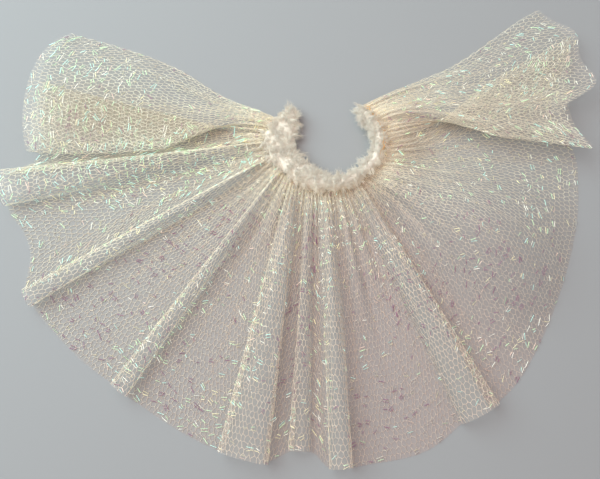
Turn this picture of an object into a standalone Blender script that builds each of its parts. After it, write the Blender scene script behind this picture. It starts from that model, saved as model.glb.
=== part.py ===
"""A fashion doll's gathered net skirt with a fleecy waistband, open at the back and laid out flat as a fan.

Two sewn pieces: the net panel, one strip of net gathered into folds, and the waistband, a pile strip
that stands in a C round the doll's waist. Angles are counted anticlockwise from +X round the waist's
centre, with the waist's opening at the far side, and the floor is at z = 0.
"""

import math

import bmesh
import bpy
import numpy as np

mm = 0.001

# Driving sizes in millimetres.
wall = 1.2
seamGap = 0.35
hemStep = 4.9
foldStep = 2.9
normalPasses = 2
normalShare = 0.4

# Gathers: how many there are, how high they stand at the waist and how far out they fade.
gatherCount = 28
gatherHeight = 1.5
gatherRootShare = 0.5
gatherRootLength = 9.0
gatherReach = 15.0
longGatherReach = 24.0
gatherEnd = 68.0
# The gathers fade out on the middle layers of the flaps: waist angle, half width in degrees.
quietGathers = ((369.5, 10.0), (178.5, 5.0))

# How far the net has come out to its hem on each row of points, from 0 at the waist to 1 at the hem.
rowFractions = (0, 0.05, 0.11, 0.18, 0.29, 0.39, 0.5, 0.63, 0.76, 0.88, 1)

# The folds are full height soon after the waist, and the flaps lie folded over from about half way out.
riseSteepness = 3.8
foldingAtWaist = 0.1
leftFlapNarrowedBy = 0.45
rightFlapNarrowedBy = 0.6

# The left back flap at the hem, from its free edge: it runs over, under and over again.
leftFlap = (
    # angle, radius, height
    (154.9, 118.0, 0.3),
    (157.6, 122.5, 1.2),
    (161.5, 124.6, 3.4),
    (166.5, 123.8, 7.0),
    (172.0, 122.6, 9.8),
    (177.0, 120.9, 11.2),
    (181.6, 119.4, 10.2),
    (182.6, 118.8, 7.0),
    (178.4, 119.4, 5.6),
    (172.8, 120.0, 4.7),
    (168.2, 120.6, 3.8),
    (165.6, 120.8, 2.0),
    (167.6, 120.2, 0.0),
    (172.6, 118.8, 0.0),
    (178.6, 116.2, 0.0),
)

# The right back flap at the hem, in the same way, from the dome to its free edge.
rightFlap = (
    # angle, radius, height
    (359.0, 102.5, 0.0),
    (364.0, 96.5, 0.0),
    (369.5, 93.0, 0.0),
    (375.5, 99.0, 0.0),
    (381.0, 109.0, 0.0),
    (386.0, 114.5, 1.8),
    (384.6, 113.0, 3.6),
    (379.0, 107.0, 4.4),
    (373.0, 101.0, 5.4),
    (366.5, 99.0, 6.5),
    (361.0, 103.0, 7.8),
    (356.9, 107.5, 9.4),
    (359.6, 104.5, 11.8),
    (364.2, 94.5, 13.0),
    (368.4, 93.5, 12.8),
    (371.8, 115.0, 10.8),
    (375.8, 110.5, 9.4),
    (380.0, 109.5, 7.8),
    (384.8, 117.0, 6.0),
    (389.2, 109.6, 3.6),
    (393.8, 109.2, 0.8),
)

# The fan between the flaps: points of the hem on the floor, and folds that stand up between them.
floorPoint = "floor"
foldPoint = "fold"
fan = (
    # kind, angle, radius, waist angle, neck, body, height, lean, narrowed by
    (floorPoint, 183.4, 116.6, 0, 0, 0, 0, 0, 0),
    (foldPoint, 187.9, 130.5, 177, 10.5, 15.5, 9.5, 1.0, 1.3),
    (floorPoint, 192.8, 129.6, 0, 0, 0, 0, 0, 0),
    (floorPoint, 196.5, 125.2, 0, 0, 0, 0, 0, 0),
    (floorPoint, 201.5, 124.8, 0, 0, 0, 0, 0, 0),
    (foldPoint, 207.8, 132.4, 192, 4.6, 8.0, 8.0, 2.0, 0.8),
    (floorPoint, 213.0, 131.2, 0, 0, 0, 0, 0, 0),
    (floorPoint, 218.0, 129.4, 0, 0, 0, 0, 0, 0),
    (floorPoint, 223.0, 128.4, 0, 0, 0, 0, 0, 0),
    (foldPoint, 230.8, 126.0, 209, 4.6, 8.2, 8.0, 1.0, 0.7),
    (floorPoint, 236.0, 125.6, 0, 0, 0, 0, 0, 0),
    (floorPoint, 242.0, 126.0, 0, 0, 0, 0, 0, 0),
    (foldPoint, 255.6, 127.2, 228, 13.0, 20.0, 11.0, 0.0, 0.6),
    (foldPoint, 265.6, 121.0, 249, 4.6, 7.5, 6.0, -3.0, 0.7),
    (foldPoint, 272.3, 126.8, 270, 5.4, 9.0, 11.0, 0.0, 1.2),
    (floorPoint, 278.5, 126.0, 0, 0, 0, 0, 0, 0),
    (floorPoint, 284.0, 126.8, 0, 0, 0, 0, 0, 0),
    (floorPoint, 289.0, 126.2, 0, 0, 0, 0, 0, 0),
    (foldPoint, 298.0, 121.8, 308, 10.5, 15.5, 9.5, 2.5, 1.0),
    (floorPoint, 307.5, 120.6, 0, 0, 0, 0, 0, 0),
    (floorPoint, 313.0, 116.9, 0, 0, 0, 0, 0, 0),
    (floorPoint, 324.0, 111.0, 0, 0, 0, 0, 0, 0),
    (floorPoint, 334.0, 107.6, 0, 0, 0, 0, 0, 0),
    (floorPoint, 344.0, 105.2, 0, 0, 0, 0, 0, 0),
    (floorPoint, 353.0, 103.4, 0, 0, 0, 0, 0, 0),
)

# Single creases that run out from the waist across the floor stretches and the dome.
creases = (
    # waist angle, half width in degrees, height, where it is highest, where it ends
    (218.5, 2.6, 2.0, 0.12, 0.42),
    (284.0, 3.2, 3.4, 0.25, 0.66),
    (292.5, 2.6, 2.2, 0.18, 0.50),
    (318.5, 2.4, 2.4, 0.16, 0.55),
    (324.5, 2.1, 2.0, 0.14, 0.48),
    (331.0, 2.4, 2.6, 0.20, 0.60),
    (337.5, 2.1, 1.8, 0.14, 0.45),
)

# How far parts of the net bow sideways on their way out: the free edges and the left flap's low fold.
bowSteps = (0.0, 0.2, 0.3, 0.45, 0.6, 0.75, 0.9, 1.0)
bows = (
    # waist angle, half width in degrees, degrees of turn at each of the steps
    (148.0, 4.3, (0.0, 0.8, -0.8, -3.8, -3.2, -2.0, -0.8, 0.0)),
    (160.0, 4.8, (0.0, 2.5, 5.0, 6.4, 4.4, 2.8, 1.2, 0.0)),
    (408.0, 10.0, (0.0, -0.6, -2.2, -3.4, -2.2, -0.6, 0.2, 0.0)),
)

# Where the ends of the net meet the waistband.
leftEndAngle = 148.0
rightEndAngle = 408.0
rightFlapStart = 346.0

# The dome on the right, where the net bows up off the floor between the waist and the hem.
domeStart = 314.0
domePeak = 329.0
domeEnd = 347.0
domeHeight = 20.0

# The waistband, with its pile: its two edges seen from above, and its height.
band = (
    # angle, inner radius, outer radius, height
    (127.0, 18.6, 22.0, 6.0),
    (138.0, 15.0, 22.6, 6.4),
    (152.0, 12.9, 23.6, 6.2),
    (170.0, 12.0, 26.0, 5.8),
    (190.0, 11.3, 24.0, 5.8),
    (215.0, 10.2, 20.6, 6.6),
    (242.0, 10.3, 19.5, 8.0),
    (270.0, 12.5, 19.3, 9.0),
    (290.0, 14.8, 19.8, 9.6),
    (316.0, 16.0, 21.0, 10.0),
    (342.0, 18.2, 23.4, 10.0),
    (360.0, 19.2, 24.2, 10.0),
    (380.0, 19.0, 23.8, 10.0),
    (398.0, 17.6, 23.0, 9.2),
    (411.0, 18.4, 22.6, 7.6),
)
bandSections = 52
bandSides = 12
bandRoundness = 2.8
bandEndTaper = 0.35
bandEndSections = 3

# Height of the net where it is sewn to the waistband.
rootHeights = (
    # angle, height
    (127.0, 1.4),
    (200.0, 1.2),
    (250.0, 2.0),
    (300.0, 3.2),
    (350.0, 5.4),
    (390.0, 5.6),
    (411.0, 4.0),
)


def clearScene():
    for thing in list(bpy.data.objects):
        bpy.data.objects.remove(thing, do_unlink=True)


def makeMaterial(name, colour, roughness):
    material = bpy.data.materials.new(name)
    material.use_nodes = True
    shader = material.node_tree.nodes["Principled BSDF"]
    shader.inputs["Base Color"].default_value = (*colour, 1)
    shader.inputs["Roughness"].default_value = roughness
    shader.inputs["Metallic"].default_value = 0
    return material


def column(table, index):
    return np.array([row[index] for row in table], float)


def smoothStep(x):
    x = np.clip(x, 0, 1)
    return x * x * (3 - 2 * x)


def foldPolygon(neck, body, height, lean):
    """Control points (sideways, up) of one fold: a rounded loop on a neck, which may lean over."""
    foot = 2.6
    return (
        (-neck / 2 - foot, 0),
        (-neck / 2, 0),
        (-body / 2 + 0.3 * lean, 0.38 * height),
        (-body / 2 + 0.8 * lean, 0.88 * height),
        (lean, 1.1 * height),
        (body / 2 + 0.8 * lean, 0.88 * height),
        (body / 2 + 0.3 * lean, 0.38 * height),
        (neck / 2, 0),
        (neck / 2 + foot, 0),
    )


def hemControls():
    """Control points of the hem: angle, radius, height, narrowed by, and the waist angle if given."""
    points = [(a, r, h, leftFlapNarrowedBy, None) for a, r, h in leftFlap]
    points[0] = points[0][:4] + (leftEndAngle,)
    for kind, angle, radius, waistAngle, neck, body, height, lean, narrowedBy in fan:
        if kind == floorPoint:
            points.append((angle, radius, 0, rightFlapNarrowedBy, None))
            continue
        polygon = foldPolygon(neck, body, height, lean)
        middle = len(polygon) // 2
        for index, (sideways, up) in enumerate(polygon):
            anchor = waistAngle if index == middle else None
            points.append((angle + math.degrees(sideways / radius), radius, up, narrowedBy, anchor))
    for index, (angle, radius, height) in enumerate(rightFlap):
        anchor = rightFlapStart if index == 0 else None
        points.append((angle, radius, height, rightFlapNarrowedBy, anchor))
    points[-1] = points[-1][:4] + (rightEndAngle,)
    return points


def splineRows(points, perSpan):
    """Points on the uniform cubic B-spline of the control points, which starts and ends on them."""
    points = np.asarray(points, float)
    first = 2 * points[0] - points[1]
    last = 2 * points[-1] - points[-2]
    padded = np.vstack([first, points, last])
    rows = []
    spans = []
    for span in range(len(points) - 1):
        p0, p1, p2, p3 = padded[span:span + 4]
        for step in range(perSpan):
            t = step / perSpan
            weights = ((1 - t) ** 3, 3 * t ** 3 - 6 * t * t + 4, -3 * t ** 3 + 3 * t * t + 3 * t + 1, t ** 3)
            rows.append(sum(w * p for w, p in zip(weights, (p0, p1, p2, p3))) / 6)
            spans.append(span + t)
    rows.append(points[-1])
    spans.append(len(points) - 1)
    return np.array(rows), np.array(spans, float)


def hemLine():
    """The hem in fine steps, with the columns that are named below."""
    controls = hemControls()
    fine, spans = splineRows([p[:4] for p in controls], 24)
    angle = np.radians(fine[:, 0])
    xyz = np.column_stack([fine[:, 1] * np.cos(angle), fine[:, 1] * np.sin(angle), fine[:, 2]])
    length = np.concatenate([[0], np.cumsum(np.linalg.norm(np.diff(xyz, axis=0), axis=1))])
    anchors = [i for i, p in enumerate(controls) if p[4] is not None]
    anchorLength = np.interp(anchors, spans, length)
    waistAngle = np.interp(length, anchorLength, [controls[i][4] for i in anchors])
    unfoldedAngle = np.interp(length, anchorLength, [controls[i][0] for i in anchors])
    # angle, radius, height, narrowed by, waist angle, unfolded angle, length along the hem
    return np.column_stack([fine, waistAngle, unfoldedAngle, length])


def sampleHem(line):
    """Picks the stations along the hem: close together on folds, wider apart on the floor."""
    length = line[:, 6]
    lifted = line[:, 2] > 0.05
    step = np.where(lifted, foldStep, hemStep)
    count = np.concatenate([[0], np.cumsum(np.diff(length) / step[1:])])
    stations = round(count[-1])
    wanted = np.interp(np.linspace(0, count[-1], stations + 1), count, length)
    return np.column_stack([np.interp(wanted, length, line[:, i]) for i in range(line.shape[1])])


def domeProfile(waistAngle, out):
    """Lift of the dome, over the waist angle and the fraction of the way out to the hem."""
    rise = smoothStep((waistAngle - domeStart) / (domePeak - domeStart))
    fall = smoothStep((domeEnd - waistAngle) / (domeEnd - domePeak))
    along = np.sin(math.pi * out ** 1.15) ** 1.2
    return domeHeight * np.minimum(rise, fall) * along


def gatherProfile(waistAngle, distance):
    """Lift of the gathers, which stand up from the net and fade towards the hem."""
    turns = gatherCount * (waistAngle - leftEndAngle) / (rightEndAngle - leftEndAngle)
    number = np.round(turns)
    reach = gatherReach + longGatherReach * (0.5 + 0.5 * np.sin(2.4 * number + 1.1)) ** 2
    size = gatherRootShare + (1 - gatherRootShare) * smoothStep(distance / gatherRootLength)
    fade = np.exp(-distance / reach) * smoothStep((gatherEnd - distance) / gatherReach)
    for angle, halfWidth in quietGathers:
        fade = fade * (1 - smoothStep(distance / 9) * np.exp(-((waistAngle - angle) / halfWidth) ** 4))
    return gatherHeight * size * (0.5 + 0.5 * np.cos(2 * math.pi * turns)) * fade


def creaseProfile(waistAngle, out):
    """Lift of the single creases."""
    lift = 0
    for angle, halfWidth, height, highest, end in creases:
        across = np.exp(-((waistAngle - angle) / halfWidth) ** 2)
        along = smoothStep(out / highest) * smoothStep((end - out) / (end - highest))
        lift = lift + height * across * along
    return lift


def bowTurn(waistAngle, out):
    """Sideways turn of the bows, in degrees."""
    turn = 0
    fine = np.linspace(0, 1, 81)
    window = np.hanning(15)
    for angle, halfWidth, degrees in bows:
        padded = np.pad(np.interp(fine, bowSteps, degrees), 7, mode="edge")
        even = np.convolve(padded, window / window.sum(), mode="valid")
        turn = turn + np.exp(-((waistAngle - angle) / halfWidth) ** 2) * np.interp(out, fine, even)
    return turn


def netSurface(stations, fractions):
    """Middle surface of the net, in millimetres: a grid over the stations and the row fractions."""
    out = np.asarray(fractions, float)[None, :]
    columns = (stations[:, i][:, None] for i in range(6))
    hemAngle, hemRadius, hemHeight, narrowedBy, waistAngle, unfoldedAngle = columns
    rootRadius = np.interp(waistAngle, column(band, 0), column(band, 2)) + seamGap
    rootHeight = np.interp(waistAngle, column(rootHeights, 0), column(rootHeights, 1))
    folding = smoothStep(foldingAtWaist + (1 - foldingAtWaist) * out / narrowedBy)
    folding = folding / smoothStep(foldingAtWaist + (1 - foldingAtWaist) / narrowedBy)
    turned = unfoldedAngle + (hemAngle - unfoldedAngle) * folding
    turned = np.radians(turned + bowTurn(waistAngle, out))
    waist = np.radians(waistAngle)
    x = (1 - out) * rootRadius * np.cos(waist) + out * hemRadius * np.cos(turned)
    y = (1 - out) * rootRadius * np.sin(waist) + out * hemRadius * np.sin(turned)
    distance = out * (hemRadius - rootRadius)
    rise = 1 - (1 - out) ** riseSteepness
    z = wall / 2 + hemHeight * rise
    z = z + rootHeight * (1 - smoothStep(distance / 26))
    z = z + domeProfile(waistAngle, out)
    z = z + gatherProfile(waistAngle, distance)
    z = z + creaseProfile(waistAngle, out)
    return np.stack([x, y, z], axis=2)


def gridNormals(grid):
    """Unit normals of the grid, evened out along the hem so that the wall stays whole in tight bends."""
    along = np.gradient(grid, axis=0)
    outward = np.gradient(grid, axis=1)
    normal = np.cross(outward, along)
    for _ in range(normalPasses):
        normal = normal / np.linalg.norm(normal, axis=2, keepdims=True)
        before = np.concatenate([normal[:1], normal[:-1]])
        after = np.concatenate([normal[1:], normal[-1:]])
        normal = normal + normalShare * (before + after)
    return normal / np.linalg.norm(normal, axis=2, keepdims=True)


def addGridShell(name, grid, normals, thickness, material):
    """A closed wall round a grid of points: a face above, one below and a strip round the edge."""
    rows, columns = grid.shape[:2]
    upper = grid + normals * thickness / 2
    lower = grid - normals * thickness / 2
    lower[:, :, 2] = np.where(lower[:, :, 2] < 0.08, 0, lower[:, :, 2])
    mesh = bmesh.new()
    top = [[mesh.verts.new(upper[i, j] * mm) for j in range(columns)] for i in range(rows)]
    bottom = [[mesh.verts.new(lower[i, j] * mm) for j in range(columns)] for i in range(rows)]
    for i in range(rows - 1):
        for j in range(columns - 1):
            mesh.faces.new((top[i][j], top[i][j + 1], top[i + 1][j + 1], top[i + 1][j]))
            mesh.faces.new((bottom[i][j], bottom[i + 1][j], bottom[i + 1][j + 1], bottom[i][j + 1]))
    border = [(i, 0) for i in range(rows)]
    border += [(rows - 1, j) for j in range(1, columns)]
    border += [(i, columns - 1) for i in range(rows - 2, -1, -1)]
    border += [(0, j) for j in range(columns - 2, 0, -1)]
    for (i, j), (k, m) in zip(border, border[1:] + border[:1]):
        mesh.faces.new((top[i][j], top[k][m], bottom[k][m], bottom[i][j]))
    return finishMesh(name, mesh, material)


def finishMesh(name, mesh, material):
    bmesh.ops.triangulate(mesh, faces=mesh.faces[:])
    bmesh.ops.recalc_face_normals(mesh, faces=mesh.faces[:])
    data = bpy.data.meshes.new(name)
    mesh.to_mesh(data)
    mesh.free()
    data.shade_smooth()
    data.materials.append(material)
    thing = bpy.data.objects.new(name, data)
    bpy.context.scene.collection.objects.link(thing)
    return thing


def bandSection(angle):
    """One section of the waistband: a rounded slab with a flat foot, as (radius, height) pairs."""
    inner = np.interp(angle, column(band, 0), column(band, 1))
    outer = np.interp(angle, column(band, 0), column(band, 2))
    height = np.interp(angle, column(band, 0), column(band, 3))
    section = []
    for side in range(bandSides):
        turn = 2 * math.pi * (side + 0.5) / bandSides
        c, s = math.cos(turn), math.sin(turn)
        across = math.copysign(abs(c) ** (2 / bandRoundness), c)
        up = math.copysign(abs(s) ** (2 / bandRoundness), s)
        section.append(((inner + outer) / 2 + across * (outer - inner) / 2, height / 2 + up * height / 2))
    return section


def addWaistband(material):
    angles = np.linspace(band[0][0], band[-1][0], bandSections)
    mesh = bmesh.new()
    rings = []
    for index, angle in enumerate(angles):
        section = bandSection(angle)
        fromEnd = min(index, bandSections - 1 - index)
        size = 1 - bandEndTaper * max(0, 1 - fromEnd / bandEndSections) ** 2
        middle = sum(r for r, z in section) / len(section)
        low = min(z for r, z in section)
        turn = math.radians(angle)
        ring = []
        for radius, height in section:
            radius = middle + (radius - middle) * size
            height = (height - low) * size
            ring.append(mesh.verts.new((radius * math.cos(turn) * mm, radius * math.sin(turn) * mm, height * mm)))
        rings.append(ring)
    for ring, following in zip(rings, rings[1:]):
        for side in range(bandSides):
            onward = (side + 1) % bandSides
            mesh.faces.new((ring[side], ring[onward], following[onward], following[side]))
    mesh.faces.new(rings[0])
    mesh.faces.new(rings[-1])
    return finishMesh("waistband", mesh, material)


def centreOnFloor(things):
    """Moves the pieces so that the middle of the whole skirt's footprint is the origin."""
    points = np.array([v.co for thing in things for v in thing.data.vertices])
    middle = (points.min(axis=0) + points.max(axis=0)) / 2
    low = points[:, 2].min()
    for thing in things:
        for vertex in thing.data.vertices:
            vertex.co.x -= middle[0]
            vertex.co.y -= middle[1]
            vertex.co.z -= low
    print("waist centre in mm:", [round(-float(c) / mm, 3) for c in middle[:2]])


def main():
    clearScene()
    netMaterial = makeMaterial("cream net", (0.83, 0.78, 0.64), 0.6)
    bandMaterial = makeMaterial("ivory fleece", (0.88, 0.80, 0.68), 0.95)
    grid = netSurface(sampleHem(hemLine()), rowFractions)
    net = addGridShell("net_panel", grid, gridNormals(grid), wall, netMaterial)
    waistband = addWaistband(bandMaterial)
    centreOnFloor([net, waistband])


main()
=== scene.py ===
# A fashion doll's gathered net skirt with a fleecy waistband, laid out flat as a fan.
# The net's form repeats part.py's tables in millimetres, with angles counted round the waist's centre.

import math

import bpy
import numpy as np
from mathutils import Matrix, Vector


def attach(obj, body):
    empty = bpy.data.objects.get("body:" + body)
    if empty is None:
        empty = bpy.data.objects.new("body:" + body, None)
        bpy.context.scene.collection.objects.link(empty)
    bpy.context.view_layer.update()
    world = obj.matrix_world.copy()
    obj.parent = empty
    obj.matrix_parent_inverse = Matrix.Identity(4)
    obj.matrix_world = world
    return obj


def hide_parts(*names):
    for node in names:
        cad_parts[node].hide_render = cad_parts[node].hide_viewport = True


mm = 0.001
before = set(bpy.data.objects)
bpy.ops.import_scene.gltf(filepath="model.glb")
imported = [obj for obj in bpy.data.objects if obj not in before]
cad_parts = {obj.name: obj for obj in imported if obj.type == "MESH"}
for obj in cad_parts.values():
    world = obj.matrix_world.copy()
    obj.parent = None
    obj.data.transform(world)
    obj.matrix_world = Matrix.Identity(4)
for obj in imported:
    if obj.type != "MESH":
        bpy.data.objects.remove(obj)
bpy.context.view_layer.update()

place = {
    "waist centre": (10.402, 32.935),
    "camera target": (0.168, -5.359),
    "camera distance": 340.0,
    "camera elevation": 78.0,
    "lens": 51.0,
    "sensor": 36.0,
    "nearest": 0.01,
}

net = {
    "lift": 0.3,
    "tuck": 1.6,
    "cell": 1.9,
    "row": 2.3,
    "depth": 122.0,
    "pillar from": 0.15,
    "pillar to": 2.05,
    "thread": 0.087,
    "unevenness": 0.25,
    "thinner in warm shade": 0.28,
    "thicker on folds": 0.12,
    "jitter": 0.2,
    "down jitter share": 0.8,
    "wobble": 0.05,
    "lowest": 0.13,
    "lowest layer": 0.14,
    "layer gap": 0.32,
    "deepest layer": 4,
    "shortest strand": 0.12,
    "longest strand": 2.8,
    "colour": (0.97, 0.92, 0.74),
    # the net's tint under the painted warm shade
    "blush colour": (0.84, 0.71, 0.58),
    # the tan at the waist, painted shade among the gathered layers
    "root colour": (0.90, 0.71, 0.44),
    "roughness": 0.5,
    "sheen": (0.25, 0.4),
    "pieces": 4,
    "seed": 11,
}

root = (
    # waist angle, how tan the net is at the waist with painted shade among the gathered layers, how far out
    # that reaches in mm, how dense, reach
    (127, 0.30, 9, 0.45, 7),
    (165, 0.35, 9, 0.55, 9),
    (185, 0.20, 9, 0.55, 9),
    (235, 0.35, 6, 0.35, 7),
    (275, 0.45, 6, 0.65, 8),
    (310, 0.35, 6, 0.55, 8),
    (345, 0.55, 10, 0.80, 11),
    (372, 0.62, 12, 1.00, 18),
    (392, 0.75, 12, 0.80, 14),
    (411, 0.60, 10, 0.40, 9),
)

warmShade = (
    # angle, how much painted warm shade lies on the net there
    (185, 0.1),
    (212, 0.35),
    (245, 0.7),
    (285, 1),
    (310, 0.95),
    (332, 0.5),
    (350, 0.3),
    (378, 0.25),
)

# the radius where the painted warm shade begins, and over how far it grows
warmShadeGrows = (15.0, 25.0)

doubled = (
    # angle, half width, radius, half width, strength: places where two layers lie flat, beige with painted
    # shade between them
    (171.0, 8.5, 80.0, 34.0, 1.0),
)

foldTops = {
    # where the tops of the front folds begin, and over how far they fade in
    "from angle": (183.0, 5.0),
    "to angle": (312.0, 6.0),
    "height": (2.5, 5.0),
    "radius": (30.0, 20.0),
}

veil = {
    "columns": 1000,
    "rows": 54,
    "opacity": 0.12,
    "colour": (0.60, 0.60, 0.52),
    # painted warm shade: a darker peach haze, which the fold tops lose in part
    "blush colour": (0.56, 0.44, 0.40),
    "blush opacity": 0.14,
    "blush lost on folds": 0.5,
    "fold colour": (0.62, 0.57, 0.49),
    # the two layers' colour, darkened with painted shade
    "doubled colour": (0.44, 0.39, 0.30),
    "doubled opacity": 0.18,
    "root opacity": 0.45,
    "root colour": (1.0, 0.91, 0.70),
    "roughness": 0.8,
}

film = {
    "depth": 118.0,
    "row": 3.5,
    "first row": 0.35,
    "spacing": 3.4,
    "scatter": 0.2,
    "pair gap": 0.95,
    "gaps": (0.8, 1.3),
    "length": 2.9,
    "lengths": (0.6, 1.3),
    "dull lengths": (0.85, 0.15),
    "shorter by": 0.2,
    "shorter from": (0.2, 0.08),
    "shortest": 0.8,
    "longest share": 1.4,
    "slant": 19.0,
    "slant scatter": 8.0,
    "pair scatter": 9.0,
    # the chance that a thread shines or shows dull, and how much more where the film shines or is purple
    "shining": (0.06, 0.9),
    "dull": (0.3, 0.22),
    "bright kept": 0.78,
    "dull kept": 0.68,
    "base shine": 0.05,
    "base warmth": 0.4,
    "brightness": (0.8, 1.05),
    "glows": (0.3, 1.0),
    "thread": 0.09,
    "threads": (0.8, 1.15),
    "roughness": 0.3,
    "lift": 0.25,
    "lift scatter": 0.3,
    # painted light: shining threads glow in their own colours, and purple ones glow faintly
    "glow": 0.9,
    "purple glow": 0.2,
    "seed": 23,
}

# The film's colours are its iridescence painted by place: bright tints where it catches the light, purple
# where it lies away from it.
filmColours = {
    # name: colour, then its share where the film shines cool, where it shines warm, where it is dull
    # and where it is purple
    "aqua": ((0.58, 1.00, 0.90), 0.36, 0.05, 0.03, 0.00),
    "green": ((0.68, 1.00, 0.62), 0.34, 0.18, 0.08, 0.02),
    "white": ((0.97, 1.00, 0.88), 0.22, 0.32, 0.08, 0.02),
    "yellow": ((1.00, 0.95, 0.58), 0.05, 0.37, 0.12, 0.04),
    "salmon": ((1.00, 0.76, 0.64), 0.03, 0.08, 0.07, 0.04),
    "cream": ((0.82, 0.78, 0.68), 0.00, 0.00, 0.42, 0.14),
    "purple": ((0.27, 0.05, 0.20), 0.00, 0.00, 0.10, 0.85),
}

# The film shows wider or narrower with its colour, as its edge or its face is towards the eye.
filmSizes = {"purple": 1.15, "cream": 0.85, "yellow": 0.9}

purples = (
    # angle, half width, radius, half width: places where the film's iridescence is painted purple, in the
    # flats away from the light
    (216, 7, 96, 42),
    (233, 12, 112, 22),
    (222, 9, 56, 22),
    (245, 6, 104, 14),
    (262, 5, 70, 40),
    (281, 6, 110, 12),
    (300, 13, 74, 16),
    (322, 10, 84, 22),
    (176, 4, 96, 12),
    (312, 8, 104, 12),
)

glints = (
    # angle, half width, radius, half width, strength, how warm: painted glints, places where the film is
    # made to catch the light
    (161, 8, 106, 26, 0.85, 0.12),
    (176, 6, 104, 26, 0.40, 0.30),
    (188.5, 7, 100, 36, 0.97, 0.08),
    (189, 11, 58, 24, 0.85, 0.20),
    (206, 3.2, 98, 38, 0.80, 0.70),
    (230, 3.4, 96, 32, 0.85, 0.35),
    (232, 7, 116, 10, 0.60, 0.30),
    (249.5, 3.6, 82, 46, 0.85, 0.45),
    (246, 6, 120, 8, 0.60, 0.20),
    (262, 4, 116, 12, 0.45, 0.80),
    (268.5, 2.6, 70, 50, 0.70, 0.60),
    (278, 12, 36, 12, 0.65, 0.75),
    (296, 8, 46, 14, 0.75, 0.60),
    (304, 3, 92, 36, 0.45, 0.85),
    (312, 12, 108, 12, 0.40, 0.45),
    (318, 4, 70, 14, 0.35, 0.30),
    (342, 17, 86, 5, 0.85, 0.10),
    (352, 12, 62, 8, 0.45, 0.10),
    (356, 14, 98, 8, 0.35, 0.40),
    (345, 5, 33, 6, 0.70, 0.05),
    (376, 10, 96, 24, 0.40, 0.45),
    (388, 6, 82, 40, 0.42, 0.45),
)

gathers = {
    "count": 64,
    "height": 1.7,
    "root share": 0.35,
    "root length": 10.0,
    "reach": 16.0,
    "long reach": 34.0,
    "end": 92.0,
    "fade": 18.0,
    "mean size": 0.75,
    "size swing": 0.45,
    "calm at": 374.0,
    "calm half width": 24.0,
    "calmed by": 0.55,
}

pile = {
    "inset": 0.85,
    "sections": 220,
    "sides": 28,
    "squareness": 2.3,
    "end inset": 3.0,
    "rounded sections": 5,
    "end size": 0.03,
    "bumps": 0.12,
    "lowest": 0.1,
    "core height": 3.5,
    "core shade": 0.2,
    # painted shade in tan near the band's outer edge: from which share of its width and height, over how
    # far, and how much
    "tan across": (0.55, 0.5),
    "tan height": (0.3, 0.5),
    "tan share": 0.9,
    "tan above": 0.35,
    "overhang": -0.35,
    "tufts": 1100,
    "hairs": 11,
    "spread": 0.55,
    "hair length": 2.0,
    "tuft lengths": (0.6, 1.25),
    "hair lengths": (0.7, 1.1),
    "hair width": 0.085,
    "hair taper": (1.15, 1.0, 0.5),
    "hair shade": (0.2, 0.05, 0.0),
    "tuft shade": 0.35,
    "hair lowest": 0.2,
    "tilt": 42.0,
    "tilt share": 0.6,
    "parting": 0.22,
    "droop": -0.1,
    "curl": 0.8,
    "hair curl": 0.3,
    # at the middle and at the tip of a hair
    "bend": (0.12, 0.5),
    "drawn together": (0.3, 0.6),
    "roughness": 0.85,
    "sheen": (0.5, 0.5),
    # painted light: the pile glows in its own colour to lift the shade among its hairs
    "glow": 0.20,
    "colour": (0.67, 0.66, 0.58),
    "shade colour": (0.75, 0.65, 0.52),
    # the root colour is the painted tan shade under the outer edge
    "root colour": (0.90, 0.71, 0.47),
    "seed": 5,
}

stitches = {
    # two sewing threads along the outer edge of the waistband's right half
    "from": 346.0,
    "to": 404.0,
    "step": 1.1,
    # how far inside and below the waistband's outer top edge each thread runs
    "threads": ((0.9, 1.2), (0.2, 2.6)),
    "wander": (0.7, 0.4),
    "smoothing": 5,
    "thickness": 0.14,
    "colour": (0.80, 0.47, 0.16),
    "seed": 3,
}

lights = {
    # name: place in millimetres, size, watts, colour
    "key": ((-370, 240, 480), 700, 5.75, (0.83, 0.99, 1.0)),
    "fill": ((-40, -20, 800), 1000, 3.0, (1.0, 0.42, 0.35)),
}

room = {
    # the floor's half width is in metres
    "floor half width": 6.0,
    "floor colour": (0.300, 0.323, 0.333),
    "sky colour": (0.94, 1.0, 1.0),
    "sky strength": 0.445,
}

# How far parts of the net bow sideways on their way out: the free edges and the left flap's low fold.
bowSteps = (0.0, 0.2, 0.3, 0.45, 0.6, 0.75, 0.9, 1.0)
bows = (
    # waist angle, half width in degrees, degrees of turn at each of the steps
    (148.0, 4.3, (0.0, 0.8, -0.8, -3.8, -3.2, -2.0, -0.8, 0.0)),
    (160.0, 4.8, (0.0, 2.5, 5.0, 6.4, 4.4, 2.8, 1.2, 0.0)),
    (408.0, 10.0, (0.0, -0.6, -2.2, -3.4, -2.2, -0.6, 0.2, 0.0)),
)

bowFineness = 81
bowWindow = 15

hemSteps = 24
riseSteepness = 3.8
foldingAtWaist = 0.1
leftFlapNarrowedBy = 0.45
rightFlapNarrowedBy = 0.6
foldFoot = 2.6
seamGap = 0.35
rootReach = 26.0
longestDrop = 120.0
leastShare = 0.12

leftFlap = (
    # angle, radius, height
    (154.9, 118, 0.3),
    (157.6, 122.5, 1.2),
    (161.5, 124.6, 3.4),
    (166.5, 123.8, 7),
    (172, 122.6, 9.8),
    (177, 120.9, 11.2),
    (181.6, 119.4, 10.2),
    (182.6, 118.8, 7),
    (178.4, 119.4, 5.6),
    (172.8, 120, 4.7),
    (168.2, 120.6, 3.8),
    (165.6, 120.8, 2),
    (167.6, 120.2, 0),
    (172.6, 118.8, 0),
    (178.6, 116.2, 0),
)

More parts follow.
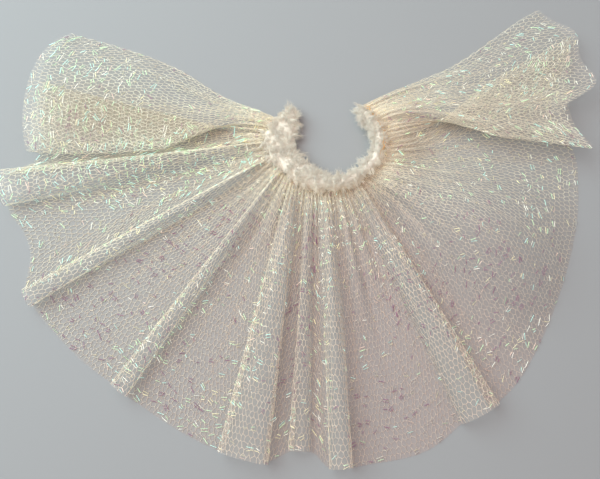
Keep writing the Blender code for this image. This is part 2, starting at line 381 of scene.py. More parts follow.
rightFlap = (
    # angle, radius, height
    (359, 102.5, 0),
    (364, 96.5, 0),
    (369.5, 93, 0),
    (375.5, 99, 0),
    (381, 109, 0),
    (386, 114.5, 1.8),
    (384.6, 113, 3.6),
    (379, 107, 4.4),
    (373, 101, 5.4),
    (366.5, 99, 6.5),
    (361, 103, 7.8),
    (356.9, 107.5, 9.4),
    (359.6, 104.5, 11.8),
    (364.2, 94.5, 13),
    (368.4, 93.5, 12.8),
    (371.8, 115, 10.8),
    (375.8, 110.5, 9.4),
    (380, 109.5, 7.8),
    (384.8, 117, 6),
    (389.2, 109.6, 3.6),
    (393.8, 109.2, 0.8),
)

fan = (
    # angle and radius, and for a fold its waist angle, neck, body, height, lean and narrowed by
    (183.4, 116.6),
    (187.9, 130.5, 177, 10.5, 15.5, 9.5, 1, 1.3),
    (192.8, 129.6),
    (196.5, 125.2),
    (201.5, 124.8),
    (207.8, 132.4, 192, 4.6, 8, 8, 2, 0.8),
    (213, 131.2),
    (218, 129.4),
    (223, 128.4),
    (230.8, 126, 209, 4.6, 8.2, 8, 1, 0.7),
    (236, 125.6),
    (242, 126),
    (255.6, 127.2, 228, 13, 20, 11, 0, 0.6),
    (265.6, 121, 249, 4.6, 7.5, 6, -3, 0.7),
    (272.3, 126.8, 270, 5.4, 9, 11, 0, 1.2),
    (278.5, 126),
    (284, 126.8),
    (289, 126.2),
    (298, 121.8, 308, 10.5, 15.5, 9.5, 2.5, 1),
    (307.5, 120.6),
    (313, 116.9),
    (324, 111),
    (334, 107.6),
    (344, 105.2),
    (353, 103.4),
)

creases = (
    # waist angle, half width in degrees, height, where it is highest, where it ends
    (218.5, 2.6, 2, 0.12, 0.42),
    (284, 3.2, 3.4, 0.25, 0.66),
    (292.5, 2.6, 2.2, 0.18, 0.50),
    (318.5, 2.4, 2.4, 0.16, 0.55),
    (324.5, 2.1, 2, 0.14, 0.48),
    (331, 2.4, 2.6, 0.20, 0.60),
    (337.5, 2.1, 1.8, 0.14, 0.45),
)

leftEndAngle = 148.0
rightEndAngle = 408.0
rightFlapStart = 346.0
domeStart = 314.0
domePeak = 329.0
domeEnd = 347.0
domeHeight = 20.0
domeSkew = 1.15
domeFullness = 1.2

band = (
    # angle, inner radius, outer radius, height
    (127, 18.6, 22, 6),
    (138, 15, 22.6, 6.4),
    (152, 12.9, 23.6, 6.2),
    (170, 12, 26, 5.8),
    (190, 11.3, 24, 5.8),
    (215, 10.2, 20.6, 6.6),
    (242, 10.3, 19.5, 8),
    (270, 12.5, 19.3, 9),
    (290, 14.8, 19.8, 9.6),
    (316, 16, 21, 10),
    (342, 18.2, 23.4, 10),
    (360, 19.2, 24.2, 10),
    (380, 19, 23.8, 10),
    (398, 17.6, 23, 9.2),
    (411, 18.4, 22.6, 7.6),
)

rootHeights = (
    # angle, height
    (127, 1.4),
    (200, 1.2),
    (250, 2),
    (300, 3.2),
    (350, 5.4),
    (390, 5.6),
    (411, 4),
)


def column(table, index):
    return np.array([row[index] for row in table], float)


def lookUp(table, angle, index):
    # a column of a table, read between its rows by the angles in the first one
    return np.interp(angle, column(table, 0), column(table, index))


def bandAt(angle):
    # the waistband's inner radius, outer radius and height
    return [lookUp(band, angle, index) for index in (1, 2, 3)]


def smoothStep(x):
    x = np.clip(x, 0, 1)
    return x * x * (3 - 2 * x)


def toWorld(points):
    moved = np.asarray(points, float) + np.array([*place["waist centre"], 0.0])
    return moved * mm


def fromWorld(points):
    return points / mm - np.array([*place["waist centre"], 0.0])


def foldPolygon(neck, body, height, lean):
    # a standing fold across the hem: foot, neck, body and top, and down again
    return (
        (-neck / 2 - foldFoot, 0),
        (-neck / 2, 0),
        (-body / 2 + 0.3 * lean, 0.38 * height),
        (-body / 2 + 0.8 * lean, 0.88 * height),
        (lean, 1.1 * height),
        (body / 2 + 0.8 * lean, 0.88 * height),
        (body / 2 + 0.3 * lean, 0.38 * height),
        (neck / 2, 0),
        (neck / 2 + foldFoot, 0),
    )


def hemControls():
    # the points that the hem follows, with a waist angle where the net is pinned to one
    points = [(a, r, h, leftFlapNarrowedBy, None) for a, r, h in leftFlap]
    points[0] = points[0][:4] + (leftEndAngle,)
    for angle, radius, *fold in fan:
        if not fold:
            points.append((angle, radius, 0, rightFlapNarrowedBy, None))
            continue
        waistAngle, neck, body, height, lean, narrowedBy = fold
        polygon = foldPolygon(neck, body, height, lean)
        middle = len(polygon) // 2
        for index, (sideways, up) in enumerate(polygon):
            anchor = waistAngle if index == middle else None
            points.append((angle + math.degrees(sideways / radius), radius, up, narrowedBy, anchor))
    for index, (angle, radius, height) in enumerate(rightFlap):
        anchor = rightFlapStart if index == 0 else None
        points.append((angle, radius, height, rightFlapNarrowedBy, anchor))
    points[-1] = points[-1][:4] + (rightEndAngle,)
    return points


def splineRows(points, perSpan):
    # a smooth curve along the points, and how many points along each of its rows lies
    points = np.asarray(points, float)
    first = 2 * points[0] - points[1]
    last = 2 * points[-1] - points[-2]
    padded = np.vstack([first, points, last])
    rows = []
    spans = []
    for span in range(len(points) - 1):
        p0, p1, p2, p3 = padded[span:span + 4]
        for step in range(perSpan):
            t = step / perSpan
            weights = (
                (1 - t) ** 3,
                3 * t ** 3 - 6 * t * t + 4,
                -3 * t ** 3 + 3 * t * t + 3 * t + 1,
                t ** 3,
            )
            rows.append(sum(w * p for w, p in zip(weights, (p0, p1, p2, p3))) / 6)
            spans.append(span + t)
    rows.append(points[-1])
    spans.append(len(points) - 1)
    return np.array(rows), np.array(spans, float)


def hemLine():
    controls = hemControls()
    fine, spans = splineRows([p[:4] for p in controls], hemSteps)
    angle = np.radians(fine[:, 0])
    xyz = np.column_stack([fine[:, 1] * np.cos(angle), fine[:, 1] * np.sin(angle), fine[:, 2]])
    length = np.concatenate([[0], np.cumsum(np.linalg.norm(np.diff(xyz, axis=0), axis=1))])
    anchors = [i for i, p in enumerate(controls) if p[4] is not None]
    anchorLength = np.interp(anchors, spans, length)
    waistAngle = np.interp(length, anchorLength, [controls[i][4] for i in anchors])
    unfoldedAngle = np.interp(length, anchorLength, [controls[i][0] for i in anchors])
    # angle, radius, height, narrowed by, waist angle, unfolded angle, length along the hem
    return np.column_stack([fine, waistAngle, unfoldedAngle, length])


def domeProfile(waistAngle, out):
    rise = smoothStep((waistAngle - domeStart) / (domePeak - domeStart))
    fall = smoothStep((domeEnd - waistAngle) / (domeEnd - domePeak))
    along = np.sin(math.pi * np.clip(out, 0, 1) ** domeSkew) ** domeFullness
    return domeHeight * np.minimum(rise, fall) * along


def gatherTurns(waistAngle):
    return gathers["count"] * (waistAngle - leftEndAngle) / (rightEndAngle - leftEndAngle)


def gatherProfile(waistAngle, distance):
    # gathers differ in reach and height by sines of their number
    turns = gatherTurns(waistAngle)
    number = np.round(turns)
    reach = gathers["reach"] + gathers["long reach"] * (0.5 + 0.5 * np.sin(2.4 * number + 1.1)) ** 2
    grown = smoothStep(distance / gathers["root length"])
    size = gathers["root share"] + (1 - gathers["root share"]) * grown
    calm = np.exp(-((waistAngle - gathers["calm at"]) / gathers["calm half width"]) ** 4)
    size = size * (1 - gathers["calmed by"] * calm)
    fade = np.exp(-distance / reach) * smoothStep((gathers["end"] - distance) / gathers["fade"])
    size = size * (gathers["mean size"] + gathers["size swing"] * np.sin(4.7 * number + 0.6))
    return gathers["height"] * size * (0.5 + 0.5 * np.cos(2 * math.pi * turns)) * fade


def creaseProfile(waistAngle, out):
    lift = 0
    for angle, halfWidth, height, highest, end in creases:
        across = np.exp(-((waistAngle - angle) / halfWidth) ** 2)
        along = smoothStep(out / highest) * smoothStep((end - out) / (end - highest))
        lift = lift + height * across * along
    return lift


def bowTurn(waistAngle, out):
    turn = 0
    fine = np.linspace(0, 1, bowFineness)
    window = np.hanning(bowWindow)
    for angle, halfWidth, degrees in bows:
        padded = np.pad(np.interp(fine, bowSteps, degrees), bowWindow // 2, mode="edge")
        even = np.convolve(padded, window / window.sum(), mode="valid")
        turn = turn + np.exp(-((waistAngle - angle) / halfWidth) ** 2) * np.interp(out, fine, even)
    return turn


hem = hemLine()
hemLength = float(hem[-1, 6])


def netPoints(length, out):
    # points of the net, in millimetres, from the length along the hem and the fraction of the way out
    length = np.asarray(length, float)
    columns = [np.interp(length, hem[:, 6], hem[:, i]) for i in range(6)]
    hemAngle, hemRadius, hemHeight, narrowedBy, waistAngle, unfoldedAngle = columns
    rootRadius = lookUp(band, waistAngle, 2) + seamGap - net["tuck"]
    rootHeight = lookUp(rootHeights, waistAngle, 1)
    folding = smoothStep(foldingAtWaist + (1 - foldingAtWaist) * out / narrowedBy)
    folding = folding / smoothStep(foldingAtWaist + (1 - foldingAtWaist) / narrowedBy)
    turned = unfoldedAngle + (hemAngle - unfoldedAngle) * folding
    turned = np.radians(turned + bowTurn(waistAngle, out))
    waist = np.radians(waistAngle)
    x = (1 - out) * rootRadius * np.cos(waist) + out * hemRadius * np.cos(turned)
    y = (1 - out) * rootRadius * np.sin(waist) + out * hemRadius * np.sin(turned)
    distance = out * (hemRadius - rootRadius)
    rise = 1 - (1 - out) ** riseSteepness
    z = net["lift"] + hemHeight * rise
    z = z + rootHeight * (1 - smoothStep(distance / rootReach))
    z = z + domeProfile(waistAngle, out)
    z = z + gatherProfile(waistAngle, distance)
    z = z + creaseProfile(waistAngle, out)
    return np.stack([x, y, z], axis=-1)


class Cloth:
    # the flat cut laid over the folded form: each gather hides the width that doesn't fit on it

    def __init__(self, columns=1600, rows=140, drops=260):
        self.length = np.linspace(0, hemLength, columns)
        self.out = np.linspace(0, 1, rows)
        grid = netPoints(*np.meshgrid(self.length, self.out, indexing="ij"))
        steps = np.linalg.norm(np.diff(grid, axis=1), axis=2)
        fromHem = np.zeros((columns, rows))
        fromHem[:, :-1] = np.cumsum(steps[:, ::-1], axis=1)[:, ::-1]
        self.total = fromHem[:, 0]
        self.drop = np.linspace(0, longestDrop, drops)
        # past the waist the way out is negative, so that no thread is kept there
        self.outAtDrop = np.array([
            np.interp(self.drop, line[::-1], self.out[::-1], right=-0.2) for line in fromHem
        ])
        across = np.linalg.norm(np.diff(grid, axis=0), axis=2)
        turns = np.interp(self.length, hem[:, 6], gatherTurns(hem[:, 4]))
        self.edges = np.interp(np.arange(-0.5, gathers["count"] + 1), turns, self.length)
        self.edges[-1] = hemLength
        facet = np.clip(np.searchsorted(self.edges, self.length[:-1] + 0.01) - 1, 0, len(self.edges) - 2)
        width = np.zeros((len(self.edges) - 1, rows))
        np.add.at(width, facet, across)
        flat = np.diff(self.edges)[:, None]
        flat[flat == 0] = 1
        self.share = np.clip(width / flat, leastShare, 1)

    def place(self, along, drop):
        # points of the folded form from places on the flat cut, and which of them are kept
        along = np.clip(along, 0, hemLength)
        column = along / hemLength * (len(self.length) - 1)
        row = np.clip(drop / longestDrop, 0, 1) * (len(self.drop) - 1)
        out = bilinear(self.outAtDrop, column, row)
        facet = np.clip(np.searchsorted(self.edges, along) - 1, 0, len(self.edges) - 2)
        start = self.edges[facet]
        flat = self.edges[facet + 1] - start
        share = bilinear(self.share, facet, np.clip(out, 0, 1) * (len(self.out) - 1))
        squeeze = np.sqrt(share)
        middle = start + flat / 2
        offset = (along - middle) * squeeze / (flat * share)
        layer = np.round(offset)
        offset = (offset - layer) * np.where(layer % 2 == 0, 1, -1)
        points = netPoints(middle + offset * flat, np.clip(out, 0, 1))
        height = points[..., 2] - np.abs(layer) * net["layer gap"]
        points[..., 2] = np.maximum(height, net["lowest layer"])
        kept = (out > -0.01) & (np.abs(layer) <= net["deepest layer"])
        return points, kept


def bilinear(table, column, row):
    i = np.clip(np.floor(column).astype(int), 0, table.shape[0] - 2)
    j = np.clip(np.floor(row).astype(int), 0, table.shape[1] - 2)
    a = np.clip(column - i, 0, 1)
    b = np.clip(row - j, 0, 1)
    lower = table[i, j] * (1 - b) + table[i, j + 1] * b
    upper = table[i + 1, j] * (1 - b) + table[i + 1, j + 1] * b
    return lower * (1 - a) + upper * a


def newObject(name, data):
    thing = bpy.data.objects.new(name, data)
    bpy.context.scene.collection.objects.link(thing)
    return thing


def wireMesh(name, points, edges, size=1.0):
    mesh = bpy.data.meshes.new(name)
    mesh.from_pydata([tuple(p) for p in points], [tuple(e) for e in edges], [])
    addFloats(mesh, "size", np.zeros(len(points)) + size)
    return mesh


def spin(thing, tree, thickness, sides, material):
    # turns the object's edges into threads
    inputs = {"Thickness": thickness * mm, "Sides": sides, "Material": material}
    modifier = thing.modifiers.new(tree.name, "NODES")
    modifier.node_group = tree
    for item in tree.interface.items_tree:
        if item.item_type == "SOCKET" and item.in_out == "INPUT" and item.name in inputs:
            modifier[item.identifier] = inputs[item.name]
    evaluated = thing.evaluated_get(bpy.context.evaluated_depsgraph_get())
    mesh = bpy.data.meshes.new_from_object(evaluated)
    thing.modifiers.remove(modifier)
    thing.data = mesh
    return thing


def strandTree():
    # turns the edges of a mesh into fine round threads, whose thickness follows the points' size
    tree = bpy.data.node_groups.new("threads", "GeometryNodeTree")
    face = tree.interface
    face.new_socket("Geometry", in_out="INPUT", socket_type="NodeSocketGeometry")
    thickness = face.new_socket("Thickness", in_out="INPUT", socket_type="NodeSocketFloat")
    thickness.default_value = 0.1 * mm
    sides = face.new_socket("Sides", in_out="INPUT", socket_type="NodeSocketInt")
    sides.default_value = 3
    face.new_socket("Material", in_out="INPUT", socket_type="NodeSocketMaterial")
    face.new_socket("Geometry", in_out="OUTPUT", socket_type="NodeSocketGeometry")
    nodes = tree.nodes
    start = nodes.new("NodeGroupInput")
    end = nodes.new("NodeGroupOutput")
    toCurve = nodes.new("GeometryNodeMeshToCurve")
    circle = nodes.new("GeometryNodeCurvePrimitiveCircle")
    toMesh = nodes.new("GeometryNodeCurveToMesh")
    toMesh.inputs["Fill Caps"].default_value = True
    size = nodes.new("GeometryNodeInputNamedAttribute")
    size.data_type = "FLOAT"
    size.inputs["Name"].default_value = "size"
    realize = nodes.new("GeometryNodeRealizeInstances")
    setMaterial = nodes.new("GeometryNodeSetMaterial")
    links = (
        (start, "Geometry", toCurve, "Mesh"),
        (start, "Sides", circle, "Resolution"),
        (start, "Thickness", circle, "Radius"),
        (toCurve, "Curve", toMesh, "Curve"),
        (circle, "Curve", toMesh, "Profile Curve"),
        (size, "Attribute", toMesh, "Scale"),
        (toMesh, "Mesh", realize, "Geometry"),
        (realize, "Geometry", setMaterial, "Geometry"),
        (start, "Material", setMaterial, "Material"),
        (setMaterial, "Geometry", end, "Geometry"),
    )
    for source, output, target, entry in links:
        tree.links.new(source.outputs[output], target.inputs[entry])
    return tree


def newMaterial(name, roughness, sheen=(0, 0.5)):
    material = bpy.data.materials.new(name)
    material.use_nodes = True
    shader = material.node_tree.nodes["Principled BSDF"]
    shader.inputs["Roughness"].default_value = roughness
    shader.inputs["Sheen Weight"].default_value = sheen[0]
    shader.inputs["Sheen Roughness"].default_value = sheen[1]
    return material, shader


def attributeNode(material, name):
    node = material.node_tree.nodes.new("ShaderNodeAttribute")
    node.attribute_name = name
    return node


def mottled(material, scale, detail, stops):
    # a soft noise between two colours, each with its place on the ramp
    nodes = material.node_tree.nodes
    link = material.node_tree.links.new
    coords = nodes.new("ShaderNodeTexCoord")
    noise = nodes.new("ShaderNodeTexNoise")
    noise.inputs["Scale"].default_value = scale
    noise.inputs["Detail"].default_value = detail
    ramp = nodes.new("ShaderNodeValToRGB")
    for element, (position, colour) in zip(ramp.color_ramp.elements, stops):
        element.position = position
        element.color = (*colour, 1)
    link(coords.outputs["Object"], noise.inputs["Vector"])
    link(noise.outputs["Fac"], ramp.inputs["Fac"])
    return ramp.outputs["Color"]


def mixedColour(material, attribute, base, colour):
    # the base colour, mixed towards another one by an attribute of the mesh
    # inputs 6 and 7 and output 2 of the mix node are its colours
    link = material.node_tree.links.new
    mix = material.node_tree.nodes.new("ShaderNodeMix")
    mix.data_type = "RGBA"
    mix.inputs[7].default_value = (*colour, 1)
    link(attributeNode(material, attribute).outputs["Fac"], mix.inputs[0])
    if isinstance(base, tuple):
        mix.inputs[6].default_value = (*base, 1)
    else:
        link(base, mix.inputs[6])
    return mix.outputs[2]


def netMaterial():
    material, shader = newMaterial("cream net thread", net["roughness"], net["sheen"])
    dark = tuple(c * 0.86 for c in net["colour"])
    pale = tuple(min(1, c * 1.1) for c in net["colour"])
    cream = mottled(material, 60, 3, ((0.35, dark), (0.65, pale)))
    warmShaded = mixedColour(material, "warmShade", cream, net["blush colour"])
    tanned = mixedColour(material, "warmth", warmShaded, net["root colour"])
    material.node_tree.links.new(tanned, shader.inputs["Base Color"])
    return material


def veilMaterial():
    material, shader = newMaterial("cream net haze", veil["roughness"])
    link = material.node_tree.links.new
    warmShaded = mixedColour(material, "warmShade", veil["colour"], veil["blush colour"])
    folded = mixedColour(material, "fold", warmShaded, veil["fold colour"])
    beige = mixedColour(material, "doubled", folded, veil["doubled colour"])
    tanned = mixedColour(material, "warmth", beige, veil["root colour"])
    link(tanned, shader.inputs["Base Color"])
    link(attributeNode(material, "haze").outputs["Fac"], shader.inputs["Alpha"])
    return material


def filmMaterial():
    material, shader = newMaterial("iridescent film", film["roughness"])
    link = material.node_tree.links.new
    # painted highlights: each thread glows in the colour of its glow attribute
    shader.inputs["Emission Strength"].default_value = film["glow"]
    link(attributeNode(material, "tint").outputs["Color"], shader.inputs["Base Color"])
    link(attributeNode(material, "glow").outputs["Color"], shader.inputs["Emission Color"])
    return material


def pileMaterial():
    material, shader = newMaterial("ivory pile", pile["roughness"], pile["sheen"])
    link = material.node_tree.links.new
    # painted light: the pile glows in its base colour, lifting its shade
    shader.inputs["Emission Strength"].default_value = pile["glow"]
    dark = tuple(c * 0.78 for c in pile["colour"])
    ivory = mottled(material, 240, 4, ((0.3, dark), (0.62, pile["colour"])))
    shaded = mixedColour(material, "shade", ivory, pile["shade colour"])
    tanned = mixedColour(material, "warmth", shaded, pile["root colour"])
    link(tanned, shader.inputs["Base Color"])
    link(tanned, shader.inputs["Emission Color"])
    return material


def makeCamera():
    data = bpy.data.cameras.new("camera")
    data.lens = place["lens"]
    data.sensor_width = place["sensor"]
    data.clip_start = place["nearest"]
    camera = newObject("camera", data)
    elevation = math.radians(place["camera elevation"])
    target = Vector((place["camera target"][0] * mm, place["camera target"][1] * mm, 0))
    offset = Vector((0, -math.cos(elevation), math.sin(elevation))) * place["camera distance"] * mm
    camera.location = target + offset
    camera.rotation_euler = (-offset).to_track_quat("-Z", "Y").to_euler()
    bpy.context.scene.camera = camera


def makeRoom():
    mesh = bpy.data.meshes.new("floor")
    half = room["floor half width"]
    corners = [(-half, -half, 0), (half, -half, 0), (half, half, 0), (-half, half, 0)]
    mesh.from_pydata(corners, [], [(0, 1, 2, 3)])
    floor = newObject("floor", mesh)
    material, shader = newMaterial("pale floor", 0.9)
    shader.inputs["Base Color"].default_value = (*room["floor colour"], 1)
    mesh.materials.append(material)
    world = bpy.data.worlds.new("soft light")
    world.use_nodes = True
    background = world.node_tree.nodes["Background"]
    background.inputs["Color"].default_value = (*room["sky colour"], 1)
    background.inputs["Strength"].default_value = room["sky strength"]
    bpy.context.scene.world = world
    bpy.context.scene.view_settings.view_transform = "Standard"
    for name, (spot, size, watts, colour) in lights.items():
        data = bpy.data.lights.new(name, "AREA")
        data.shape = "DISK"
        data.size = size * mm
        data.energy = watts
        data.color = colour
        light = newObject(name, data)
        light.location = Vector(spot) * mm
        light.rotation_euler = (-light.location).to_track_quat("-Z", "Y").to_euler()


def makeVeil():
    length = np.linspace(0, hemLength, veil["columns"])
    out = np.linspace(0, 1, veil["rows"])
    points = netPoints(*np.meshgrid(length, out, indexing="ij"))
    grid = toWorld(points)
    points = points.reshape(-1, 3)
    rows, columns = grid.shape[:2]
    index = np.arange(rows * columns).reshape(rows, columns)
    faces = np.stack([index[:-1, :-1], index[:-1, 1:], index[1:, 1:], index[1:, :-1]], axis=-1)
    mesh = bpy.data.meshes.new("net_veil")
    corners = [tuple(p) for p in grid.reshape(-1, 3)]
    mesh.from_pydata(corners, [], [tuple(f) for f in faces.reshape(-1, 4)])
    mesh.shade_smooth()
    mesh.materials.append(veilMaterial())
    warmth, density = rootOf(points)
    warmShaded = warmShadeOf(points)
    fold = foldOf(points)
    beige = doubledOf(points)
    haze = veil["opacity"] + veil["blush opacity"] * warmShaded * (1 - veil["blush lost on folds"] * fold)
    haze = haze + veil["doubled opacity"] * beige
    addFloats(mesh, "warmth", np.sqrt(warmth))
    addFloats(mesh, "warmShade", warmShaded)
    addFloats(mesh, "fold", fold)
    addFloats(mesh, "doubled", beige)
    addFloats(mesh, "haze", haze + veil["root opacity"] * density * (1 - haze))
    area = sum(p.area for p in mesh.polygons)
    print("veil:", len(mesh.polygons) * 2, "triangles, area", round(area, 5))
    return newObject("net_veil", mesh)


def netLattice(cloth):
    # upright pillars of thread joined by slanting ones into hexagons, with slow waves along and down
    random = np.random.default_rng(net["seed"])
    columns = int(hemLength / net["cell"])
    cell = hemLength / columns
    rows = int(net["depth"] / net["row"])
    side = net["row"] / 3
    i, j, k = np.meshgrid(np.arange(columns + 1), np.arange(rows), np.arange(2), indexing="ij")
    along = (i + 0.5 * (j % 2)) * cell
    drop = j * net["row"] + np.where(k == 0, side * net["pillar from"], side * net["pillar to"])
    along = along + random.normal(0, net["jitter"], along.shape)
    drop = drop + random.normal(0, net["jitter"] * net["down jitter share"], drop.shape)
    along = along + 0.35 * np.sin(drop / 9 + along / 17) + 0.2 * np.sin(along / 5.3 - drop / 6)
    drop = drop + 0.4 * np.sin(along / 13 + 1.3) + 0.25 * np.sin(along / 4.1 + drop / 11)
    points, kept = cloth.place(along, np.maximum(drop, 0))
    points = points + random.normal(0, net["wobble"], points.shape)
    points[..., 2] = np.maximum(points[..., 2], net["lowest"])
    number = np.arange(along.size).reshape(along.shape)
    pillars = np.stack([number[:, :, 0], number[:, :, 1]], axis=-1).reshape(-1, 2)
    slants = []
    for row in range(rows - 1):
        top = number[:, row, 1]
        below = number[:, row + 1, 0]
        slants.append(np.stack([top, below], axis=-1))
        if row % 2 == 0:
            slants.append(np.stack([top[1:], below[:-1]], axis=-1))
        else:
            slants.append(np.stack([top[:-1], below[1:]], axis=-1))
    edges = np.vstack([pillars, *slants])
    points = points.reshape(-1, 3)
    kept = kept.reshape(-1)
    long = np.linalg.norm(points[edges[:, 0]] - points[edges[:, 1]], axis=1)
    good = kept[edges].all(axis=1) & (long < net["longest strand"]) & (long > net["shortest strand"])
    edges = edges[good]
    along = along.reshape(-1)
    middle = (along[edges[:, 0]] + along[edges[:, 1]]) / 2
    return points, edges, middle


def polar(points):
    # the distance from the waist's centre and the angle round it, from 90 to 450 degrees
    radius = np.hypot(points[:, 0], points[:, 1])
    angle = np.degrees(np.arctan2(points[:, 1], points[:, 0])) % 360
    return radius, np.where(angle < 90, angle + 360, angle)


def rootOf(points):
    # how tan and how dense the net is, both strongest where it is gathered at the waist; the tan is painted
    # shade among the bunched layers
    radius, angle = polar(points)
    away = np.maximum(radius - lookUp(band, angle, 2), 0)
    tan, tanReach, dense, denseReach = (lookUp(root, angle, index) for index in (1, 2, 3, 4))
    return tan * np.exp(-away / tanReach), dense * np.exp(-((away / denseReach) ** 2))


def foldOf(points):
    # 1 on the tops of the front folds, which stand up in two layers
    radius, angle = polar(points)
    first, firstFade = foldTops["from angle"]
    last, lastFade = foldTops["to angle"]
    low, lowFade = foldTops["height"]
    near, nearFade = foldTops["radius"]
    front = smoothStep((angle - first) / firstFade) * smoothStep((last - angle) / lastFade)
    return front * smoothStep((points[:, 2] - low) / lowFade) * smoothStep((radius - near) / nearFade)


def warmShadeOf(points):
    # how much painted warm shade lies on the net, which grows from the waist outwards
    radius, angle = polar(points)
    start, over = warmShadeGrows
    return lookUp(warmShade, angle, 1) * smoothStep((radius - start) / over)


def doubledOf(points):
    # 1 where two layers lie flat on each other
    radius, angle = polar(points)
    total = np.zeros(len(points))
    for middle, halfWidth, away, reach, strength in doubled:
        near = strength * np.exp(-((angle - middle) / halfWidth) ** 4 - ((radius - away) / reach) ** 4)
        total = np.maximum(total, near)
    return total


def addFloats(mesh, name, values):
    attribute = mesh.attributes.new(name, "FLOAT", "POINT")
    attribute.data.foreach_set("value", np.asarray(values, float))


def addColours(mesh, name, colours):
    attribute = mesh.attributes.new(name, "FLOAT_COLOR", "POINT")
    values = np.ones((len(colours), 4))
    values[:, :3] = colours
    attribute.data.foreach_set("color", values.reshape(-1))


def makeNet(cloth, tree):
    points, edges, middle = netLattice(cloth)
    print("net strands:", len(edges))
    material = netMaterial()
    random = np.random.default_rng(net["seed"] + 1)
    uneven = random.uniform(1 - net["unevenness"], 1 + net["unevenness"], len(points))
    fold = foldOf(points)
    # threads are thinner under the painted warm shade, except on the folds
    uneven = uneven * (1 - net["thinner in warm shade"] * warmShadeOf(points) * (1 - fold))
    uneven = uneven * (1 + net["thicker on folds"] * fold)
    limits = np.quantile(middle, np.linspace(0, 1, net["pieces"] + 1))
    limits[-1] += 1
    pieces = []
    for number in range(net["pieces"]):
        chosen = edges[(middle >= limits[number]) & (middle < limits[number + 1])]
        used, index = np.unique(chosen, return_inverse=True)
        name = "net_threads_%d" % (number + 1)
        mesh = wireMesh(name, toWorld(points[used]), index.reshape(-1, 2), uneven[used])
        addFloats(mesh, "warmth", rootOf(points[used])[0])
        addFloats(mesh, "warmShade", warmShadeOf(points[used]))
        thing = newObject(name, mesh)
        spin(thing, tree, net["thread"], 3, material)
        print(thing.name, "faces:", len(thing.data.polygons))
        pieces.append(thing)
    return pieces


def glintAt(points):
    # how strongly the painted glints shine at each point, and how warm
    radius, angle = polar(points)
    dull = np.ones(len(points))
    total = np.full(len(points), film["base shine"])
    warm = film["base warmth"] * total
    for middle, halfWidth, away, reach, strength, warmer in glints:
        near = strength * np.exp(-((angle - middle) / halfWidth) ** 2 - ((radius - away) / reach) ** 4)
        dull = dull * (1 - near)
        warm = warm + near * warmer
        total = total + near
    purple = np.zeros(len(points))
    for middle, halfWidth, away, reach in purples:
        near = np.exp(-((angle - middle) / halfWidth) ** 4 - ((radius - away) / reach) ** 4)
        purple = np.maximum(purple, near)
    return 1 - dull, warm / total, purple


def filmRows(random):
    # the film's places on the flat cut, row by row: along the hem, down from the waist, and slant
    rows = []
    for row in range(int(film["depth"] / film["row"])):
        count = int(hemLength / film["spacing"])
        number = np.arange(count)
        moved = random.uniform(-film["scatter"], film["scatter"], count)
        along = (number + 0.5 * (row % 2) + moved) * film["spacing"]
        drop = (row + film["first row"]) * film["row"] + random.normal(0, film["scatter"], count)
        slant = np.where((number // 2 + row) % 2 == 0, 1, -1) * film["slant"]
        slant = np.radians(slant + random.normal(0, film["slant scatter"], count))
        rows.append(np.column_stack([along, drop, slant]))
    return np.vstack(rows)


def filmTints(random, shines, warm, purple):
    # each thread's colour, drawn by the shares in its table, with its painted glow and its thickness
    names = list(filmColours)
    shares = np.array([filmColours[n][1:] for n in names])
    coolShare, warmShare, dullShare, purpleShare = shares.T
    dull = dullShare + (purpleShare - dullShare) * purple
    weights = np.where(shines > 0, coolShare + (warmShare - coolShare) * warm, dull)
    weights = weights / weights.sum(axis=1, keepdims=True)
    pick = (random.uniform(0, 1, shines.shape) > np.cumsum(weights, axis=1)).sum(axis=1)
    pick = np.minimum(pick, len(names) - 1)
    colours = np.array([filmColours[n][0] for n in names])[pick]
    colours = np.clip(colours * random.uniform(*film["brightness"], shines.shape), 0, 1)
    glow = colours * shines * random.uniform(*film["glows"], shines.shape)
    glow = np.where((pick == names.index("purple"))[:, None], colours * film["purple glow"], glow)
    size = np.array([filmSizes.get(names[i], 1) for i in pick])
    return colours, glow, size * random.uniform(*film["threads"], len(pick))


